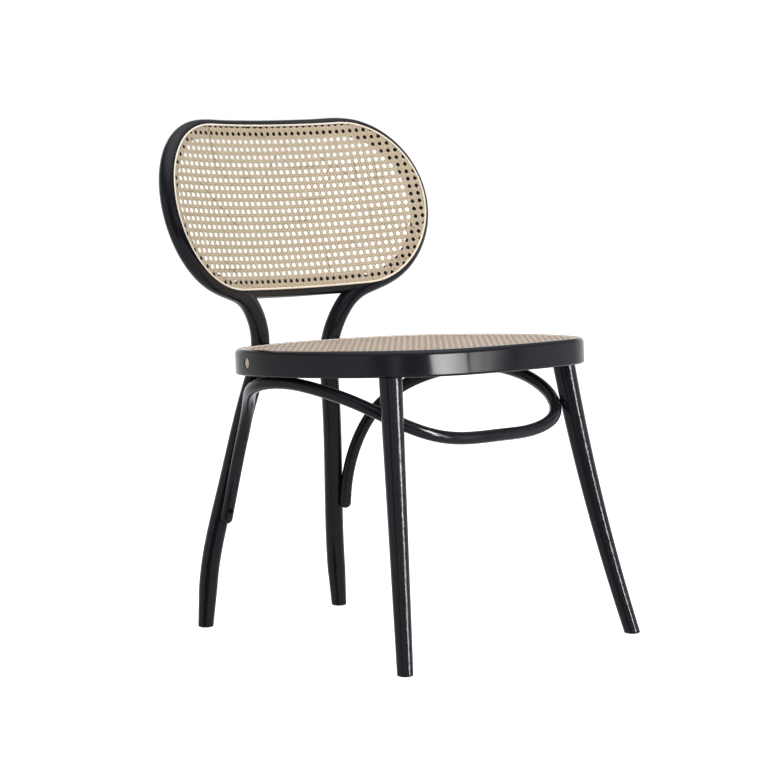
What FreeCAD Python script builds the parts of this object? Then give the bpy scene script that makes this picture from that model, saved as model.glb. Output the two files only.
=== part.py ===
import FreeCAD, Part
import math
import os

from FreeCAD import Vector, Placement, Rotation

# Bentwood bistro chair with a caned back and a caned seat.
# Millimetres, +Z up, the sitter faces -Y and the floor is z = 0.
# Sizes are given about a point of the floor below the middle of the seat.
# At the end every piece moves by floor_shift, so that the origin is below the middle of the chair.

# Bent rod that is both rear legs, both posts and the loop of the back
rod_diameter = 30.0
foot_diameter = 24.6
bow_arc_spans = 44

# Loop: a stadium laid on an upright cylinder that leans back
loop_lean = 15.6
loop_curve_radius = 930.0
loop_middle_height = 660.0
loop_middle_y = 262.0
loop_end_radius = 130.5
loop_flat_half = 145.2
loop_centre_rise = 7.6
loop_leaving_angle = 72.0

# Centre of the rod below the loop: distance from the middle plane, y, height
shoulder_point = (121.0, 236.0, 524.0)
neck_point = (90.5, 242.2, 487.0)
waist_point = (78.0, 249.4, 441.0)
knee_point = (88.5, 259.6, 381.0)
shin_point = (119.0, 283.2, 229.0)
ankle_point = (142.2, 302.4, 90.0)
heel_point = (145.2, 303.2, 62.0)

# Lower rail of the loop and its dowels
rail_half_length = 138.0
dowel_diameter = 8.0
dowel_length = 34.0
dowel_x = 119.0

# Cane, the groove it is folded into and the reed that holds it there
cane_thickness = 1.6
back_cane_depth = 14.0
seat_reed_inset = 12.2
reed_width = 3.2
reed_height = 3.6
reed_proud = 0.9
fold_thickness = 1.5

# Outer edge of the back's reed: a stadium of its own, milled a little inside the rod's line at the sides
groove_end_radius = 135.1
groove_flat_half = 142.0
groove_centre_rise = 7.5

# Openings that stand for the weave: octagons on a square grid
openings_across = 12
opening_sides = 8
opening_share = 0.6
opening_margin = 4.0

# Seat ring: a bent strip, its outline as arcs named by the angle of the outward normal
seat_height = 461.5
seat_tilt = 2.4
ring_height = 40.0
ring_width = 43.0
ring_top_round = 8.0
ring_bottom_round = 4.0
ring_front_reach = 251.5
ring_front_radius = 600.0
ring_front_angle = 11.0
ring_corner_radius = 120.0
ring_corner_angle = 60.0
ring_side_radius = 380.0
ring_side_angle = 110.0
ring_rear_corner_radius = 140.0
ring_rear_corner_angle = 158.0

# Front legs: turned, tapered and a little bowed
front_foot_x = 259.0
front_foot_y = -238.5
front_top_x = 195.0
front_top_y = -150.0
front_bow_x = -5.2
front_bow_y = 5.0
front_foot_diameter = 24.4
front_top_diameter = 35.0
tenon_diameter = 22.0
tenon_length = 29.0
tenon_pin_diameter = 5.0
tenon_pin_length = 30.0

# Half of the brace below the seat: distance from the middle plane, y, drop below the seat's height
# A drop of None is where the brace lies against the underside of the ring
brace_diameter = 19.4
brace_arc_spans = 40
brace_points = [
    (0.0, -190.5, 131.5),
    (89.0, -182.5, 130.0),
    (151.5, -168.0, 115.5),
    (188.5, -134.5, 94.0),
    (210.5, -83.0, 72.0),
    (222.5, -24.0, 57.5),
    (224.0, 34.0, None),
    (223.5, 78.0, None),
    (209.0, 129.0, 65.0),
    (177.5, 171.5, 86.0),
    (148.5, 209.0, 123.5),
    (133.5, 241.5, 181.0),
    (130.5, 259.0, 231.5),
    (134.0, 270.5, 285.0),
]

# Bolts through the posts and the ring
bolt_diameter = 6.0
bolt_head_diameter = 15.0
bolt_head_height = 3.4
bolt_head_sink = 4.5
washer_diameter = 16.0
washer_thickness = 1.5
washer_face_depth = 4.0
nut_across_flats = 10.0
nut_height = 5.0
bolt_tail = 1.5

# Screws of the brace
screw_diameter = 4.0
screw_head_diameter = 8.0
screw_head_height = 2.6
screw_head_sink = 3.4
rear_screw_drop = 272.0
rear_screw_length = 30.0
front_screw_length = 30.0
side_screw_y = 54.0
side_screw_length = 36.0

# Rounded feet and the glides let into them
foot_lift = 0.8
foot_round = 2.0
glide_diameter = 18.0
glide_height = 3.0
glide_bevel = 0.8
nail_diameter = 2.6
nail_length = 16.0

# Plain brass disc let into the ring
disc_diameter = 16.5
disc_thickness = 1.5
disc_recess = 1.2
disc_angle = 108.0

# Clearances between pieces
snug = 0.05
hole_clearance = 0.1
end_clearance = 0.5

rod_radius = rod_diameter / 2
brace_radius = brace_diameter / 2
lean = math.radians(loop_lean)
tilt = math.radians(seat_tilt)
up_the_back = Vector(0, math.sin(lean), math.cos(lean))
behind_the_back = Vector(0, math.cos(lean), -math.sin(lean))
back_axis_point = Vector(0, loop_middle_y, loop_middle_height) - behind_the_back * loop_curve_radius
rod_curve_radius = loop_curve_radius + back_cane_depth
loop_top_rise = loop_centre_rise + loop_end_radius
rail_rise = loop_centre_rise - loop_end_radius
reed_low = reed_height - reed_proud
fold_low = reed_low + snug + fold_thickness
far_away = 2000.0


def mirrored(shape):
    return shape.mirror(Vector(0, 0, 0), Vector(1, 0, 0))


def other_side(point):
    return Vector(-point.x, point.y, point.z)


def cylinder_between(start, end, radius):
    return Part.makeCylinder(radius, start.distanceToPoint(end), start, end - start)


def half_space(point, normal):
    """Everything on the side of a plane that its normal points to."""
    box = Part.makeBox(far_away, far_away, far_away, Vector(-far_away / 2, -far_away / 2, 0))
    box.Placement = Placement(point, Rotation(Vector(0, 0, 1), normal))
    return box


def main_solid(shape):
    return max(shape.Solids, key=lambda solid: solid.Volume)


def smooth_curve(points):
    curve = Part.BSplineCurve()
    curve.interpolate(Points=points)
    return curve


def heading(curve, parameter):
    return Vector(*curve.tangent(parameter)[0]).normalize()


def arc_between(start, direction, end):
    """The edge that leaves start in this direction and reaches end."""
    chord = end - start
    angle = direction.getAngle(chord)
    if angle < 1e-4:
        return Part.LineSegment(start, end).toShape()
    along = Vector(chord).normalize()
    side = (direction - along * direction.dot(along)).normalize()
    middle = (start + end) * 0.5 + side * (chord.Length / 2 * math.tan(angle / 2))
    return Part.Arc(start, middle, end).toShape()


def arcs_along(curve, spans):
    """Tangent arcs, two for each span, that follow a smooth curve."""
    edges = []
    length = curve.LastParameter - curve.FirstParameter
    stations = [curve.FirstParameter + length * i / spans for i in range(spans + 1)]
    for near, far in zip(stations, stations[1:]):
        start, end = curve.value(near), curve.value(far)
        leave, arrive = heading(curve, near), heading(curve, far)
        chord = end - start
        inner = chord.dot(leave + arrive)
        spread = 2 * (1 - leave.dot(arrive))
        if spread < 1e-9:
            reach = chord.Length ** 2 / (2 * inner)
        else:
            reach = (math.sqrt(inner ** 2 + spread * chord.Length ** 2) - inner) / spread
        join = (start + leave * reach + end - arrive * reach) * 0.5
        edges.append(arc_between(start, leave, join))
        edges.append(arc_between(end, arrive * -1, join))
    return edges


def rod_along(edges, radius, start, direction):
    """A round rod along a chain of tangent edges that begins at start."""
    path = Part.Wire(Part.__sortEdges__(edges))
    section = Part.Wire(Part.Circle(start, direction, radius).toShape())
    shell = Part.BRepOffsetAPI.MakePipeShell(path)
    shell.add(section)
    shell.build()
    shell.makeSolid()
    return shell.shape()


def parameter_where(curve, measure, first, last):
    """The parameter between first and last where the measure of the point is zero."""
    low_side = measure(curve.value(first)) > 0
    for _ in range(50):
        middle = (first + last) / 2
        if (measure(curve.value(middle)) > 0) == low_side:
            first = middle
        else:
            last = middle
    return (first + last) / 2


def on_back(x, rise):
    """A point of the rod's centre cylinder: x across, rise up the lean."""
    depth = math.sqrt(rod_curve_radius ** 2 - x ** 2)
    return back_axis_point + Vector(x, 0, 0) + behind_the_back * depth + up_the_back * rise


def bow_half_points():
    """Centre points from the top middle of the loop to the heel."""
    points = [on_back(loop_flat_half * i / 4, loop_top_rise) for i in range(4)]
    steps = 9
    for i in range(steps + 1):
        turn = math.radians(90 - (90 + loop_leaving_angle) * i / steps)
        x = loop_flat_half + loop_end_radius * math.cos(turn)
        points.append(on_back(x, loop_centre_rise + loop_end_radius * math.sin(turn)))
    leg = [shoulder_point, neck_point, waist_point, knee_point, shin_point, ankle_point, heel_point]
    return points + [Vector(*point) for point in leg]


half_bow = bow_half_points()
bow_line = smooth_curve([other_side(point) for point in reversed(half_bow[1:])] + half_bow)
bow_middle = (bow_line.FirstParameter + bow_line.LastParameter) / 2
foot_direction = heading(bow_line, bow_line.LastParameter)
heel = Vector(*heel_point)
rear_foot = heel + foot_direction * (heel.z / -foot_direction.z)


def bow_rod(extra=0.0):
    """The bent rod with its two tapered feet, before anything is cut into it."""
    start = bow_line.value(bow_line.FirstParameter)
    first_heading = heading(bow_line, bow_line.FirstParameter)
    rod = rod_along(arcs_along(bow_line, bow_arc_spans), rod_radius + extra, start, first_heading)
    reach = heel.distanceToPoint(rear_foot)
    narrowing = (rod_diameter - foot_diameter) / 2 / reach
    longer = reach + foot_diameter
    end_radius = rod_radius - narrowing * longer
    foot = Part.makeCone(rod_radius + extra, end_radius + extra, longer, heel, foot_direction)
    floor = half_space(Vector(0, 0, foot_lift), Vector(0, 0, -1))
    return rod.fuse([foot, mirrored(foot)]).cut(floor).removeSplitter()


def rail_blank():
    """The lower rail of the loop, bent about the same axis, with square ends inside the bow."""
    centre = back_axis_point + up_the_back * rail_rise
    end = on_back(-rail_half_length, rail_rise)
    turn = math.degrees(math.asin(rail_half_length / rod_curve_radius))
    direction = up_the_back.cross(end - centre)
    section = Part.Face(Part.Wire(Part.Circle(end, direction, rod_radius).toShape()))
    return section.revolve(centre, up_the_back, -2 * turn)


def groove_outline(inset):
    """The outer edge of the back's reed, moved in, as a flat face round the middle of the loop."""
    radius = groove_end_radius - inset
    edges = []
    for side in (1, -1):
        middle = side * groove_flat_half
        high, low = Vector(middle, radius, 0), Vector(middle, -radius, 0)
        edges.append(Part.Arc(high, Vector(middle + side * radius, 0, 0), low).toShape())
        edges.append(Part.LineSegment(high * side, Vector(-high.x, high.y, 0) * side).toShape())
    return Part.Face(Part.Wire(Part.__sortEdges__(edges)))


def back_plate(inset, front, rear):
    """A curved plate inside the reed's outline, moved in, between two depths behind the cane's face."""
    tall = 4 * loop_end_radius
    start = back_axis_point - up_the_back * (tall / 2)
    outer = Part.makeCylinder(loop_curve_radius + rear, tall, start, up_the_back)
    inner = Part.makeCylinder(loop_curve_radius + front, tall, start, up_the_back)
    outline = groove_outline(inset)
    corner = back_axis_point + up_the_back * groove_centre_rise
    outline.Placement = Placement(corner, Rotation(Vector(1, 0, 0), 90 - loop_lean))
    block = outline.extrude(behind_the_back * (loop_curve_radius + rear))
    return block.common(outer).cut(inner)


def ring_arcs():
    """Radius, first and last normal angle of each arc of half the seat, front to rear."""
    arcs = [
        (ring_front_radius, 0.0, ring_front_angle),
        (ring_corner_radius, ring_front_angle, ring_corner_angle),
        (ring_side_radius, ring_corner_angle, ring_side_angle),
        (ring_rear_corner_radius, ring_side_angle, ring_rear_corner_angle),
    ]
    x = 0.0
    for radius, first, last in arcs:
        x += radius * (math.sin(math.radians(last)) - math.sin(math.radians(first)))
    closing_radius = x / math.sin(math.radians(ring_rear_corner_angle))
    return arcs + [(closing_radius, ring_rear_corner_angle, 180.0)]


def ring_point(normal_angle, inset=0.0, drop=0.0):
    """A point of the level seat's outline, named by the angle of its outward normal."""
    x, y = 0.0, -ring_front_reach
    for radius, first, last in ring_arcs():
        first_turn = math.radians(first)
        last_turn = math.radians(min(max(normal_angle, first), last))
        x += radius * (math.sin(last_turn) - math.sin(first_turn))
        y += radius * (math.cos(first_turn) - math.cos(last_turn))
    turn = math.radians(normal_angle)
    return Vector(x - inset * math.sin(turn), y + inset * math.cos(turn), -drop)


def ring_outline(inset):
    edges = []
    for side in (1, -1):
        for radius, first, last in ring_arcs():
            points = [ring_point(angle, inset) for angle in (first, (first + last) / 2, last)]
            edges.append(Part.Arc(*[Vector(side * point.x, point.y, 0) for point in points]).toShape())
    return Part.Face(Part.Wire(Part.__sortEdges__(edges)))


def seat_plate(inset, top, bottom):
    """A level plate inside the seat's outline, between two depths below the ring's top."""
    plate = ring_outline(inset).extrude(Vector(0, 0, top - bottom))
    plate.translate(Vector(0, 0, -top))
    return plate


seat_place = Placement(Vector(0, 0, seat_height), Rotation(Vector(1, 0, 0), -seat_tilt))
seat_upward = seat_place.Rotation.multVec(Vector(0, 0, 1))


def on_seat(shape):
    """Moves a piece from the level drawing of the seat to its tilted place."""
    return shape.transformed(seat_place.toMatrix())


def underside_height(y):
    """Height of the ring's lower face at this y."""
    return seat_height - ring_height / math.cos(tilt) - y * math.tan(tilt)


def caned_panel(plate, outer):
    """Reed, cane and the room cut for them; outer is the inset of the reed's outer edge."""
    inner = outer + reed_width
    wall_inner = inner + snug + fold_thickness
    reed = plate(outer, -reed_proud, reed_low).cut(plate(inner, -reed_proud - 1, reed_low + 1))
    sheet = plate(inner + snug, 0, cane_thickness)
    fold = plate(inner + snug, cane_thickness, fold_low)
    fold = fold.cut(plate(wall_inner, 0, fold_low + 1))
    hem = plate(outer + snug, reed_low + snug, fold_low)
    hem = hem.cut(plate(wall_inner, 0, fold_low + 1))
    cane = sheet.fuse([fold, hem]).removeSplitter()
    above = rod_diameter
    room = plate(outer - snug, -above, fold_low + snug)
    room = room.cut(plate(wall_inner + snug, cane_thickness + snug, fold_low + 1))
    return reed, cane, room


def opening_corners(pitch):
    """Corners of one opening about its own middle, with a flat side at the right."""
    half_side = math.pi / opening_sides
    radius = opening_share * pitch / 2 / math.cos(half_side)
    turns = [half_side * (2 * i + 1) for i in range(opening_sides)]
    return [Vector(radius * math.cos(turn), radius * math.sin(turn), 0) for turn in turns]


def opening_centres(outline, pitch):
    """Places on a square grid where an opening lies wholly inside a flat outline."""
    reach = openings_across / 2 * pitch
    centres = []
    for column in range(openings_across):
        for row in range(openings_across):
            centre = Vector(column + 0.5, row + 0.5, 0) * pitch - Vector(reach, reach, 0)
            rim = [centre + corner for corner in opening_corners(pitch)]
            if all(outline.isInside(point, snug, True) for point in rim):
                centres.append(centre)
    return centres


def opening_bar(pitch):
    """A bar of an opening's shape that crosses a cane sheet."""
    rim = opening_corners(pitch)
    bar = Part.Face(Part.makePolygon(rim + rim[:1])).extrude(Vector(0, 0, 4 * cane_thickness))
    bar.translate(Vector(0, 0, -2 * cane_thickness))
    return bar


def back_openings():
    outline = groove_outline(reed_width + opening_margin)
    pitch = outline.BoundBox.XLength / openings_across
    bars = []
    for centre in opening_centres(outline, pitch):
        turn = math.degrees(math.asin(centre.x / loop_curve_radius))
        aim = Rotation(up_the_back, -turn)
        rise = up_the_back * (groove_centre_rise + centre.y)
        place = back_axis_point + rise + aim.multVec(behind_the_back) * loop_curve_radius
        bar = opening_bar(pitch)
        stand = Placement(place, aim * Rotation(Vector(1, 0, 0), 90 - loop_lean))
        bar.Placement = stand * bar.Placement
        bars.append(bar)
    return bars


def seat_openings():
    outline = ring_outline(seat_reed_inset + reed_width + opening_margin)
    pitch = outline.BoundBox.XLength / openings_across
    middle = Vector(0, outline.BoundBox.Center.y, 0)
    outline.translate(middle * -1)
    bars = []
    for centre in opening_centres(outline, pitch):
        bar = opening_bar(pitch)
        bar.translate(centre + middle)
        bars.append(bar)
    return bars


def front_leg_axis(share):
    """Centre of the right front leg, from the floor at 0 to the ring's underside at 1."""
    top = Vector(front_top_x, front_top_y, underside_height(front_top_y))
    foot = Vector(front_foot_x, front_foot_y, 0)
    bow = Vector(front_bow_x, front_bow_y, 0) * (4 * share * (1 - share))
    return foot + (top - foot) * share + bow


def front_leg_radius(share):
    return (front_foot_diameter + (front_top_diameter - front_foot_diameter) * share) / 2


front_axis_line = smooth_curve([front_leg_axis(i / 8) for i in range(9)])
front_top = front_leg_axis(1)
tenon_direction = heading(front_axis_line, front_axis_line.LastParameter)
tenon_end = front_top + tenon_direction * tenon_length


def turned_leg(extra=0.0):
    """The right front leg without its tenon."""
    sections = []
    for i in range(-1, 10):
        share = i / 8
        direction = front_leg_axis(share + 0.01) - front_leg_axis(share - 0.01)
        circle = Part.Circle(front_leg_axis(share), direction, front_leg_radius(share) + extra)
        sections.append(Part.Wire(circle.toShape()))
    leg = Part.makeLoft(sections, True)
    floor = half_space(Vector(0, 0, foot_lift), Vector(0, 0, -1))
    seat = half_space(front_top, seat_upward)
    return leg.cut(floor).cut(seat)


def brace_half_points():
    points = []
    for x, y, drop in brace_points:
        height = underside_height(y) - brace_radius / math.cos(tilt) - snug
        if drop is not None:
            height = seat_height - drop
        points.append(Vector(x, y, height))
    return points


half_brace = brace_half_points()
brace_line = smooth_curve([other_side(point) for point in reversed(half_brace[1:])] + half_brace)
brace_middle = (brace_line.FirstParameter + brace_line.LastParameter) / 2
brace_side = (brace_middle + brace_line.LastParameter) / 2


def brace_rod():
    """The bent rod of the brace, with a domed end on each side."""
    start = brace_line.value(brace_line.FirstParameter)
    direction = heading(brace_line, brace_line.FirstParameter)
    rod = rod_along(arcs_along(brace_line, brace_arc_spans), brace_radius, start, direction)
    domes = [Part.makeSphere(brace_radius, point) for point in (start, other_side(start))]
    return rod.fuse(domes)


def drilled(shape, holes):
    return main_solid(shape.cut(holes))


def both_sides(shapes):
    return shapes + [mirrored(shape) for shape in shapes]


def pan_screw(seat, direction, length):
    """A screw whose head lies on the point seat, with the holes for its head and shank."""
    back = direction * -1
    shank = cylinder_between(seat, seat + direction * length, screw_diameter / 2)
    head = Part.makeCone(screw_head_diameter / 2, screw_head_diameter / 3, screw_head_height, seat, back)
    slot = Part.makeBox(screw_head_diameter, screw_head_height / 3, screw_head_height)
    slot.translate(Vector(-screw_head_diameter / 2, -screw_head_height / 6, screw_head_height * 0.6))
    slot.Placement = Placement(seat, Rotation(Vector(0, 0, 1), back)) * slot.Placement
    hole_end = seat + direction * (length + end_clearance)
    hole = cylinder_between(seat, hole_end, screw_diameter / 2 + hole_clearance)
    sink_end = seat + back * brace_diameter
    sink = cylinder_between(seat, sink_end, screw_head_diameter / 2 + hole_clearance)
    return shank.fuse(head).removeSplitter().cut(slot), hole, sink


def screw_seat(centre, direction):
    """Where a screw's head lies: sunk into the brace on the side it enters."""
    return centre - direction * (brace_radius - screw_head_sink)


def rear_screw():
    height = seat_height - rear_screw_drop
    at = parameter_where(brace_line, lambda p: p.z - height, brace_side, brace_line.LastParameter)
    centre = brace_line.value(at)
    nearest = bow_line.value(bow_line.parameter(centre))
    direction = (nearest - centre).normalize()
    return pan_screw(screw_seat(centre, direction), direction, rear_screw_length)


def front_screw():
    brace_edge = Part.Edge(brace_line, brace_middle, brace_line.LastParameter)
    centre, on_leg = brace_edge.distToShape(front_axis_line.toShape())[1][0]
    direction = (on_leg - centre).normalize()
    return pan_screw(screw_seat(centre, direction), direction, front_screw_length)


def side_screw():
    at = parameter_where(brace_line, lambda p: p.y - side_screw_y, brace_middle, brace_side)
    return pan_screw(screw_seat(brace_line.value(at), seat_upward), seat_upward, side_screw_length)


def post_bolt():
    """Bolt, washer and nut through the right post and the ring, with their holes."""
    waist = Vector(*waist_point)
    axis_height = underside_height(waist.y) + ring_height / 2
    below_loop = (bow_middle + bow_line.LastParameter) / 2
    at = parameter_where(bow_line, lambda p: p.z - axis_height, below_loop, bow_line.LastParameter)
    centre = bow_line.value(at)
    forward = Vector(0, -1, 0)
    head_seat = centre - forward * (rod_radius - bolt_head_sink)
    angle = 180 - math.degrees(math.asin(centre.x / (ring_arcs()[-1][0] - ring_width)))
    washer_seat = Vector(centre.x, ring_point(angle, ring_width).y + washer_face_depth, centre.z)
    nut_seat = washer_seat + forward * washer_thickness
    bolt_end = nut_seat + forward * (nut_height + bolt_tail)
    head = Part.makeSphere(bolt_head_diameter / 2, head_seat)
    flatten = bolt_head_height / (bolt_head_diameter / 2)
    squash = FreeCAD.Matrix()
    squash.move(head_seat * -1)
    squash.scale(Vector(1, flatten, 1))
    squash.move(head_seat)
    head = head.transformGeometry(squash).common(half_space(head_seat, forward * -1))
    inside_head = head_seat - forward * (bolt_head_height / 2)
    bolt = cylinder_between(inside_head, bolt_end, bolt_diameter / 2).fuse(head).removeSplitter()
    bore = cylinder_between(nut_seat, washer_seat, bolt_diameter / 2 + hole_clearance)
    washer = cylinder_between(washer_seat, nut_seat, washer_diameter / 2).cut(bore)
    corner = nut_across_flats / math.sqrt(3)
    turns = [math.radians(60 * i) for i in range(7)]
    hexagon = [nut_seat + Vector(math.cos(turn), 0, math.sin(turn)) * corner for turn in turns]
    nut = Part.Face(Part.makePolygon(hexagon)).extrude(forward * nut_height)
    thread = cylinder_between(nut_seat, bolt_end, bolt_diameter / 2 + snug)
    hole = cylinder_between(head_seat, bolt_end, bolt_diameter / 2 + hole_clearance)
    behind_head = head_seat - forward * rod_diameter
    head_room = cylinder_between(head_seat, behind_head, bolt_head_diameter / 2 + hole_clearance)
    before_washer = washer_seat + forward * ring_width
    washer_room = cylinder_between(washer_seat, before_washer, washer_diameter / 2 + hole_clearance)
    return bolt, washer, nut.cut(thread), hole, head_room, washer_room


def rounded_foot(shape):
    """Rounds the edge of every foot of a piece that ends just above the floor."""
    rims = [edge for edge in shape.Edges if edge.BoundBox.ZMax < foot_lift + snug]
    return shape.makeFillet(foot_round, rims)


def glide(foot):
    """A glide nailed under a foot, and the room for it and its nail."""
    disc = Part.makeCylinder(glide_diameter / 2, glide_height - snug, foot)
    disc = disc.makeChamfer(glide_bevel, [disc.Edges[2]])
    top = foot + Vector(0, 0, glide_height + nail_length)
    nail = cylinder_between(foot + Vector(0, 0, glide_height / 2), top, nail_diameter / 2)
    hole = cylinder_between(foot, top + Vector(0, 0, end_clearance), nail_diameter / 2 + hole_clearance)
    pocket = Part.makeCylinder(glide_diameter / 2 + hole_clearance, glide_height, foot)
    return disc.fuse(nail).removeSplitter(), hole.fuse(pocket)


def rail_dowel():
    """The dowel that joins the right end of the rail to the rod below it, and its hole."""
    on_rail = on_back(dowel_x, rail_rise)
    loop_end = bow_line.parameter(on_back(loop_flat_half, rail_rise))
    waist = bow_line.parameter(Vector(*waist_point))
    at = parameter_where(bow_line, lambda p: p.x - dowel_x, loop_end, waist)
    on_rod = bow_line.value(at)
    direction = (on_rod - on_rail).normalize()
    middle = (on_rail + on_rod) * 0.5
    half = direction * (dowel_length / 2)
    room = direction * end_clearance
    dowel = cylinder_between(middle - half, middle + half, dowel_diameter / 2)
    hole = cylinder_between(middle - half - room, middle + half + room, dowel_diameter / 2 + snug)
    return dowel, hole


def tenon_pin():
    """The pin that locks the right front tenon, driven in from inside the ring."""
    middle = (front_top + tenon_end) * 0.5
    level = Vector(middle.x, middle.y, 0)
    normals = [(ring_point(a), ring_point(a) - ring_point(a, 1.0)) for a in range(30, 100)]
    outward = min(normals, key=lambda normal: (normal[0] - level).getAngle(normal[1]))[1]
    half = outward * (tenon_pin_length / 2)
    room = outward * ring_width
    pin = cylinder_between(middle - half, middle + half, tenon_pin_diameter / 2)
    hole_end = middle + half + outward * end_clearance
    hole = cylinder_between(middle - half - room, hole_end, tenon_pin_diameter / 2 + snug)
    return pin, hole


def brass_disc():
    """The disc on the left of the ring and its recess."""
    outside = ring_point(disc_angle, 0, ring_height / 2)
    outward = outside - ring_point(disc_angle, 1.0, ring_height / 2)
    seat = outside - outward * (disc_recess + disc_thickness)
    disc = cylinder_between(seat, outside - outward * disc_recess, disc_diameter / 2)
    recess = cylinder_between(seat, outside + outward * disc_diameter, disc_diameter / 2 + hole_clearance)
    return on_seat(mirrored(disc)), on_seat(mirrored(recess))


def seat_ring_blank():
    """The bent strip with rounded edges outside, before anything is cut into it."""
    ring = seat_plate(0, 0, ring_height)
    top_edges = [edge for edge in ring.Edges if edge.BoundBox.ZMin > -snug]
    ring = ring.makeFillet(ring_top_round, top_edges)
    bottom_edges = [edge for edge in ring.Edges if edge.BoundBox.ZMax < snug - ring_height]
    ring = ring.makeFillet(ring_bottom_round, bottom_edges)
    return ring.cut(seat_plate(ring_width, -1, ring_height + 1))


back_reed, back_cane, back_room = caned_panel(back_plate, 0)
seat_reed, seat_cane, seat_room = caned_panel(seat_plate, seat_reed_inset)
back_cane = drilled(back_cane, back_openings())
seat_cane = drilled(seat_cane, seat_openings())

bolt, washer, nut, bolt_hole, bolt_head_room, washer_room = post_bolt()
rear_fixing, rear_hole, rear_sink = rear_screw()
front_fixing, front_hole, front_sink = front_screw()
side_fixing, side_hole, side_sink = side_screw()
rear_glide, rear_nail_hole = glide(rear_foot)
front_glide, front_nail_hole = glide(Vector(front_foot_x, front_foot_y, 0))
dowel, dowel_hole = rail_dowel()
pin, pin_hole = tenon_pin()
disc, disc_hole = brass_disc()

bow_outside = bow_rod(snug)
tenon_start = front_top - tenon_direction * tenon_diameter
tenon = cylinder_between(tenon_start, tenon_end, tenon_diameter / 2)
socket_end = tenon_end + tenon_direction * end_clearance
socket = cylinder_between(tenon_start, socket_end, tenon_diameter / 2 + hole_clearance)
leg_outside = turned_leg(snug)

bow_holes = [bolt_hole, bolt_head_room, rear_hole, rear_nail_hole, dowel_hole]
bow = drilled(rounded_foot(bow_rod()), [back_room] + both_sides(bow_holes))

rail = rail_blank()
rail = drilled(rail, [bow_outside, back_room] + both_sides([dowel_hole]))

ring_cuts = [bow_outside, on_seat(seat_room), disc_hole]
ring_cuts += both_sides([bolt_hole, washer_room, socket, pin_hole, side_hole])
ring = drilled(on_seat(seat_ring_blank()), ring_cuts)

front_leg = drilled(rounded_foot(turned_leg()).fuse(tenon), [pin_hole, front_hole, front_nail_hole])

ring_above = half_space(on_seat(Part.Vertex(0, 0, -ring_height - snug)).Point, seat_upward)
brace_holes = [rear_hole, rear_sink, front_hole, front_sink, side_hole, side_sink]
brace_cuts = [bow_outside, ring_above] + both_sides([leg_outside] + brace_holes)
brace = drilled(brace_rod(), brace_cuts)

pieces = {
    "back_bow": bow,
    "back_rail": rail,
    "back_cane": back_cane,
    "back_reed": back_reed,
    "seat_ring": ring,
    "seat_cane": on_seat(seat_cane),
    "seat_reed": on_seat(seat_reed),
    "brass_disc": disc,
    "under_seat_brace": brace,
}
pairs = {
    "front_leg": front_leg,
    "rail_dowel": dowel,
    "tenon_pin": pin,
    "post_bolt": bolt,
    "post_bolt_washer": washer,
    "post_bolt_nut": nut,
    "brace_rear_screw": rear_fixing,
    "brace_front_screw": front_fixing,
    "brace_side_screw": side_fixing,
    "rear_glide": rear_glide,
    "front_glide": front_glide,
}
for name, piece in pairs.items():
    pieces[name + "_right"] = piece
    pieces[name + "_left"] = mirrored(piece)

rear_reach = on_back(0, loop_top_rise).y + rod_radius
front_edge = on_seat(Part.Vertex(0, -ring_front_reach, ring_bottom_round - ring_height)).Point
floor_shift = Vector(0, -(front_edge.y + rear_reach) / 2, 0)
os.makedirs("parts", exist_ok=True)
for name, piece in pieces.items():
    placed = piece.translated(floor_shift)
    placed.exportStep("parts/" + name + ".step")
    print(name, placed.isValid(), len(placed.Solids), round(placed.Volume / 1000, 2), "cm3")
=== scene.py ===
import math

import bmesh
import bpy
import numpy as np
from mathutils import Matrix, Vector


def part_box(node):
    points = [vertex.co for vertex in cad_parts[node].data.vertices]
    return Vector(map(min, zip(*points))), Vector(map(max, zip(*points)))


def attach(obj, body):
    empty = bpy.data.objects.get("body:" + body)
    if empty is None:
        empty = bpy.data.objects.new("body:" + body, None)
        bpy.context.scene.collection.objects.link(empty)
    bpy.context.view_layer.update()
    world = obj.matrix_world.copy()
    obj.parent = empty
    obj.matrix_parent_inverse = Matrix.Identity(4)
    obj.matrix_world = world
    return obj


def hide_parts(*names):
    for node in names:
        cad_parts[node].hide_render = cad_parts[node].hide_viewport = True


# A caned bentwood chair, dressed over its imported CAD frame.
# Metres, +Z up, the sitter faces -Y.
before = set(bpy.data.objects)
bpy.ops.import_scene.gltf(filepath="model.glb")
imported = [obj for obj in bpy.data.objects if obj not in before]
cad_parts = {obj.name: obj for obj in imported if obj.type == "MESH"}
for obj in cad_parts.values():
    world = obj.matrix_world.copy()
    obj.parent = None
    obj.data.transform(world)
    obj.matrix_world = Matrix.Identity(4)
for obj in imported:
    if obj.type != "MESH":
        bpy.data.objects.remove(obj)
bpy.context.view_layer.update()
scene = bpy.context.scene
print("frame loaded:", len(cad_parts), "nodes")

# The frame is shifted in Y from the chair's drawing, and the front feet tell by how much
drawnFrontFootY = -0.2385
footLow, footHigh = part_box("front_glide_right")
shiftY = (footLow.y + footHigh.y) / 2 - drawnFrontFootY


backPanel = {
    "lean": 15.6,              # degrees
    "radius": 0.930,           # of the cane's front face
    "middle": (0.0, 0.262, 0.660),
    "endRadius": 0.1351,       # of the reed's outer edge
    "flatHalf": 0.1420,
    "centreRise": 0.0075,
    "reedWidth": 0.0032,
    "reedHeight": 0.0036,
    "reedProud": 0.0009,       # of the cane
    "reedCorner": 0.0009,
    "caneThickness": 0.0016,
}

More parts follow.
